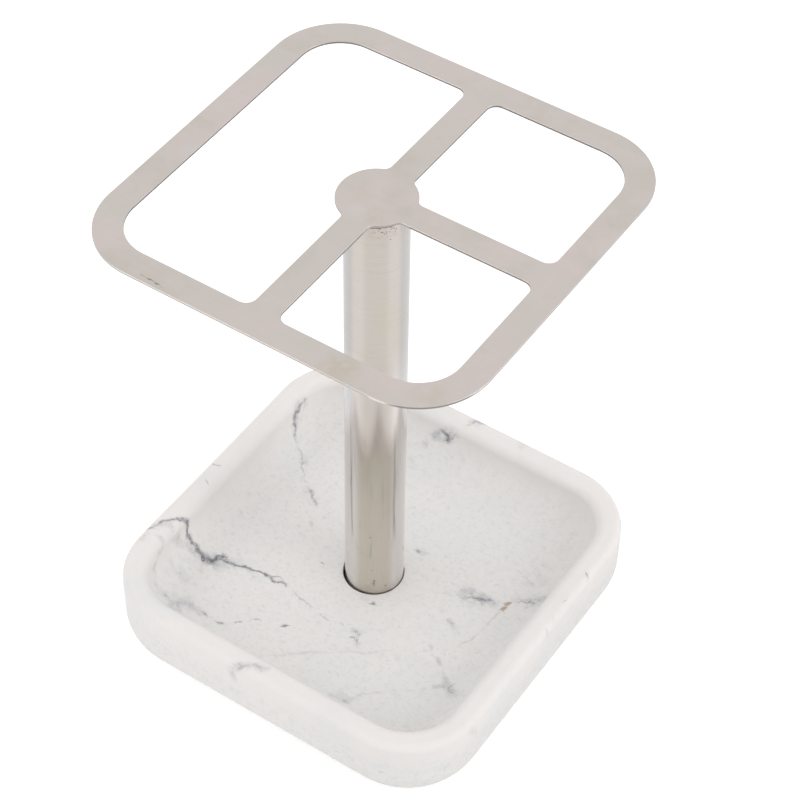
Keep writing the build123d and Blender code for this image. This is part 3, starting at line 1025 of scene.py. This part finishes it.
def build_spatter():
    """Small beads of spatter stuck to the post just below the weld."""
    generator = np.random.default_rng(34)
    mesh = bmesh.new()
    for i in range(46):
        angle = math.radians(generator.normal(-38, 16) if i < 30 else generator.uniform(0, 360))
        height = weld_low.z - abs(generator.normal(0, 1.9)) * MM
        size = generator.uniform(0.05, 0.16) * MM
        flat = Matrix.Diagonal((0.55, 1.0, generator.uniform(0.7, 1.2), 1.0))
        turn = Matrix.Rotation(angle, 4, "Z")
        place = (post_radius * math.cos(angle), post_radius * math.sin(angle), height)
        move = Matrix.Translation(place)
        made = bmesh.ops.create_icosphere(mesh, subdivisions=2, radius=size, matrix=move @ turn @ flat)
        for vert in made["verts"]:
            bend = noise.noise(vert.co * 9000) * 0.2 * size
            vert.co += Vector((vert.co.x, vert.co.y, 0)).normalized() * bend
    data = bpy.data.meshes.new("weld_spatter")
    mesh.to_mesh(data)
    mesh.free()
    smooth(data, 60)
    piece = new_piece("weld_spatter", data, "rack")
    coat(piece, weld_material())


# ---- CAD parts that stay


def dress(node, material):
    """Gives a CAD part its material; its shape isn't touched."""
    coat(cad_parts[node], material)


def dress_cad_parts():
    zinc = plated_material("zinc_plated_steel", (0.66, 0.67, 0.69), (0.52, 0.53, 0.56), 4)
    plain = plated_material("turned_plug_steel", (0.56, 0.54, 0.52), (0.46, 0.44, 0.42), 19)
    black = rubber_material("black_gasket_rubber", (0.035, 0.034, 0.033), (0.10, 0.095, 0.09), 0.55, 0.0)
    milky = rubber_material("milky_foot_rubber", (0.74, 0.74, 0.72), (0.6, 0.59, 0.57), 0.38, 0.25)
    dress("rack_plate", rack_material())
    dress("post_tube", post_material())
    dress("threaded_plug", plain)
    dress("clamp_screw", zinc)
    dress("spring_washer", zinc)
    dress("flat_washer", zinc)
    dress("soft_washer", fibre_material())
    dress("socket_gasket", black)
    dress("rubber_feet", milky)


# ---- stage, lights and camera


def mix_number(paint, share, first, second):
    """Number first turning into number second by share."""
    return paint.math("MULTIPLY_ADD", share, paint.math("SUBTRACT", second, first), first)


def build_floor():
    """Wide flat floor under the object."""
    mesh = bmesh.new()
    bmesh.ops.create_grid(mesh, x_segments=24, y_segments=24, size=6.0)
    data = bpy.data.meshes.new("studio_floor")
    mesh.to_mesh(data)
    mesh.free()
    floor = bpy.data.objects.new("studio_floor", data)
    bpy.context.scene.collection.objects.link(floor)
    coat(floor, floor_material())


def floor_material():
    """Pale floor that glows: evenly to the camera, as side_glow in mirrors, and as bounce otherwise."""
    paint = Paint("pale_floor")
    tone = paint.noise(0.004, detail=2)
    ray = paint.add("ShaderNodeLightPath").outputs
    mirrored = ray["Is Glossy Ray"]
    strength = mix_number(paint, ray["Is Camera Ray"], bounce(paint), 0.5)
    return paint.finish(
        Base_Color=paint.blend(tone, (0.66, 0.66, 0.66), (0.68, 0.68, 0.68)),
        Roughness=0.9,
        Specular_IOR_Level=0.1,
        Emission_Color=paint.blend(mirrored, (1.0, 1.0, 1.0), side_glow(paint)),
        Emission_Strength=mix_number(paint, mirrored, strength, 1.0),
    )


def bounce(paint):
    """Light the floor throws up at the stone: near the tray, and most in front of its -Y side."""
    x, y, z = paint.split(paint.place)
    in_front = paint.math("MULTIPLY", paint.spread(y, -20, -90, 0.14, 0.45), paint.spread(x, 0, 90, 1, 0.4))
    return paint.math("MULTIPLY", in_front, paint.spread(from_axis(paint), 200, 110, 0.05, 1))


def side_glow(paint):
    """The floor's own glow, as the post mirrors it: brighter to the camera's left and right."""
    aside = facing_angle(paint)
    band = paint.spread(aside, 30, 52, 0, 1)
    colour = paint.blend(band, (0.238, 0.238, 0.226), (0.35, 0.34, 0.345))
    behind = paint.spread(aside, 78, 100, 0, 1)
    return paint.blend(behind, colour, (0.18, 0.205, 0.24))


def set_sky():
    """Even white light from all round."""
    world = bpy.data.worlds.new("studio")
    bpy.context.scene.world = world
    world.use_nodes = True
    background = world.node_tree.nodes["Background"]
    background.inputs["Color"].default_value = (1.0, 1.0, 1.0, 1.0)
    background.inputs["Strength"].default_value = 1.0


def add_softbox(name, azimuth, elevation, distance, size, watts, mirrored):
    """Rectangular soft light aimed at the object's middle.

    A mirrored light shows only in shiny surfaces; the others light dull surfaces and aren't mirrored.
    """
    light = bpy.data.lights.new(name, "AREA")
    light.shape = "RECTANGLE"
    light.size = size[0]
    light.size_y = size[1]
    light.energy = watts
    lamp = bpy.data.objects.new(name, light)
    bpy.context.scene.collection.objects.link(lamp)
    toward = direction(azimuth, elevation)
    middle = Vector((0, 0, (tray_low.z + plate_high.z) / 2))
    lamp.location = middle + toward * distance
    lamp.rotation_mode = "QUATERNION"
    lamp.rotation_quaternion = toward.to_track_quat("Z", "Y")
    lamp.visible_camera = False
    lamp.visible_diffuse = not mirrored
    lamp.visible_glossy = mirrored


def direction(azimuth, elevation):
    """Unit vector from the object; azimuth 0 is on the -Y side and 90 on the +X side."""
    a = math.radians(azimuth)
    e = math.radians(elevation)
    return Vector((math.sin(a) * math.cos(e), -math.cos(a) * math.cos(e), math.sin(e)))


def add_camera():
    """Camera above the rack's near corner, with a long lens."""
    back = direction(camera_azimuth, camera_elevation)
    level = Vector((math.cos(math.radians(camera_azimuth)), math.sin(math.radians(camera_azimuth)), 0))
    upward = back.cross(level)
    roll = math.radians(camera_roll)
    right = math.cos(roll) * level + math.sin(roll) * upward
    top = math.cos(roll) * upward - math.sin(roll) * level
    data = bpy.data.cameras.new("camera")
    data.lens = camera_lens
    data.sensor_width = 36.0
    data.clip_start = 0.01
    data.clip_end = 50.0
    camera = bpy.data.objects.new("camera", data)
    bpy.context.scene.collection.objects.link(camera)
    turn = Matrix((right, top, back)).transposed()
    camera.matrix_world = Matrix.Translation(aim + back * camera_distance) @ turn.to_4x4()
    bpy.context.scene.camera = camera


# ---- the scene

tray = build_tray()
draw_veins(tray)
coat(tray, marble_material())
build_weld()
build_spatter()
dress_cad_parts()

build_floor()
set_sky()
add_softbox("left_strip", -38, 32, 1.4, (0.5, 1.2), 5.0, mirrored=True)
add_softbox("right_strip", 110, 40, 1.4, (0.7, 1.2), 6.0, mirrored=True)
add_softbox("left_fill", -62, 32, 1.4, (0.9, 1.2), 2.4, mirrored=False)
add_softbox("right_fill", 90, 26, 1.4, (0.9, 1.2), 4.8, mirrored=False)
add_camera()
bpy.context.scene.view_settings.view_transform = "Standard"
